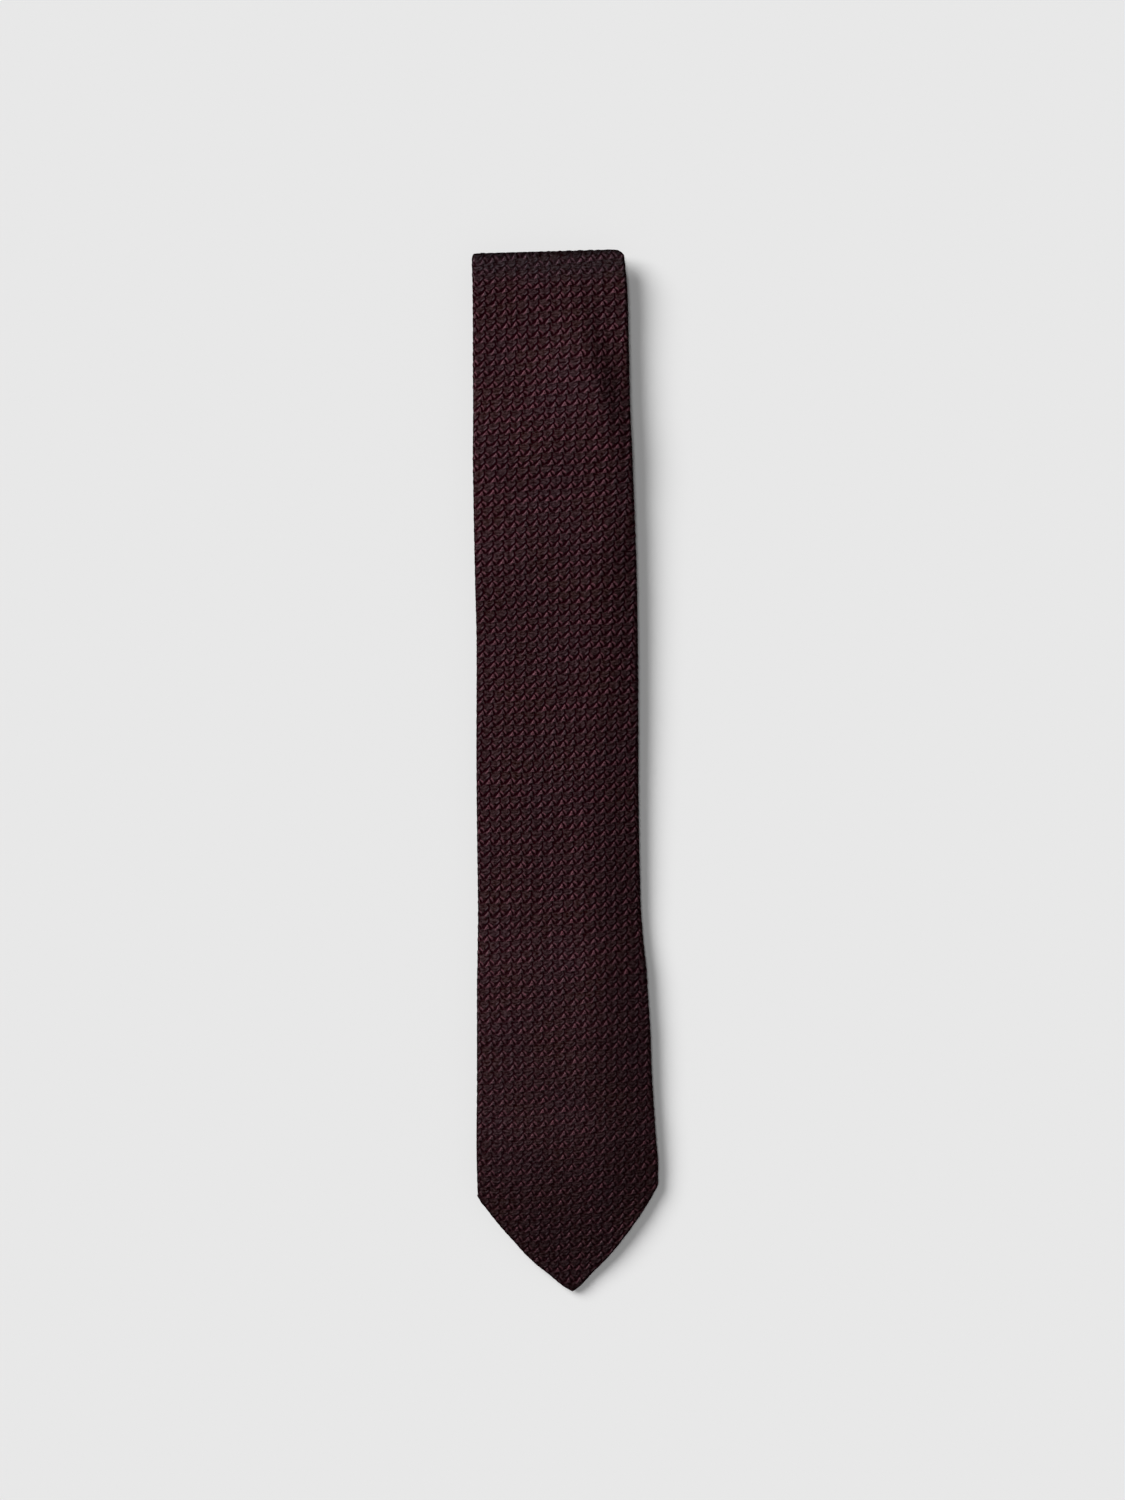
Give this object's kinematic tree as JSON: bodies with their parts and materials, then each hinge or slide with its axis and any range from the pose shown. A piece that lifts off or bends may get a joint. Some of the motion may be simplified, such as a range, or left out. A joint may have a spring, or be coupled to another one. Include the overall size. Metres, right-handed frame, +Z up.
{
  "type": "silk necktie",
  "caption": "Silk necktie in a dark burgundy gauze weave, folded flat with its wide pointed blade on top and its neck and narrow tail hidden below.",
  "frame": {"origin": "on the floor below the middle of the folded tie's box", "axes": "+Y from the blade's tip towards the top fold, +X to the right of the visible face, +Z up out of the visible face"},
  "size_m": [0.0818, 0.462, 0.0137],
  "materials": {
    "silk": "open gauze weave of black and crimson silk, softly lustrous",
    "thread": "twisted silk thread"
  },
  "bodies": {
    "root": {"front_blade": "silk", "neck": "silk", "tail": "silk", "keeper_loop": "silk", "blade_bar_tack": "thread", "tail_bar_tack": "thread"}
  },
  "joints": []
}
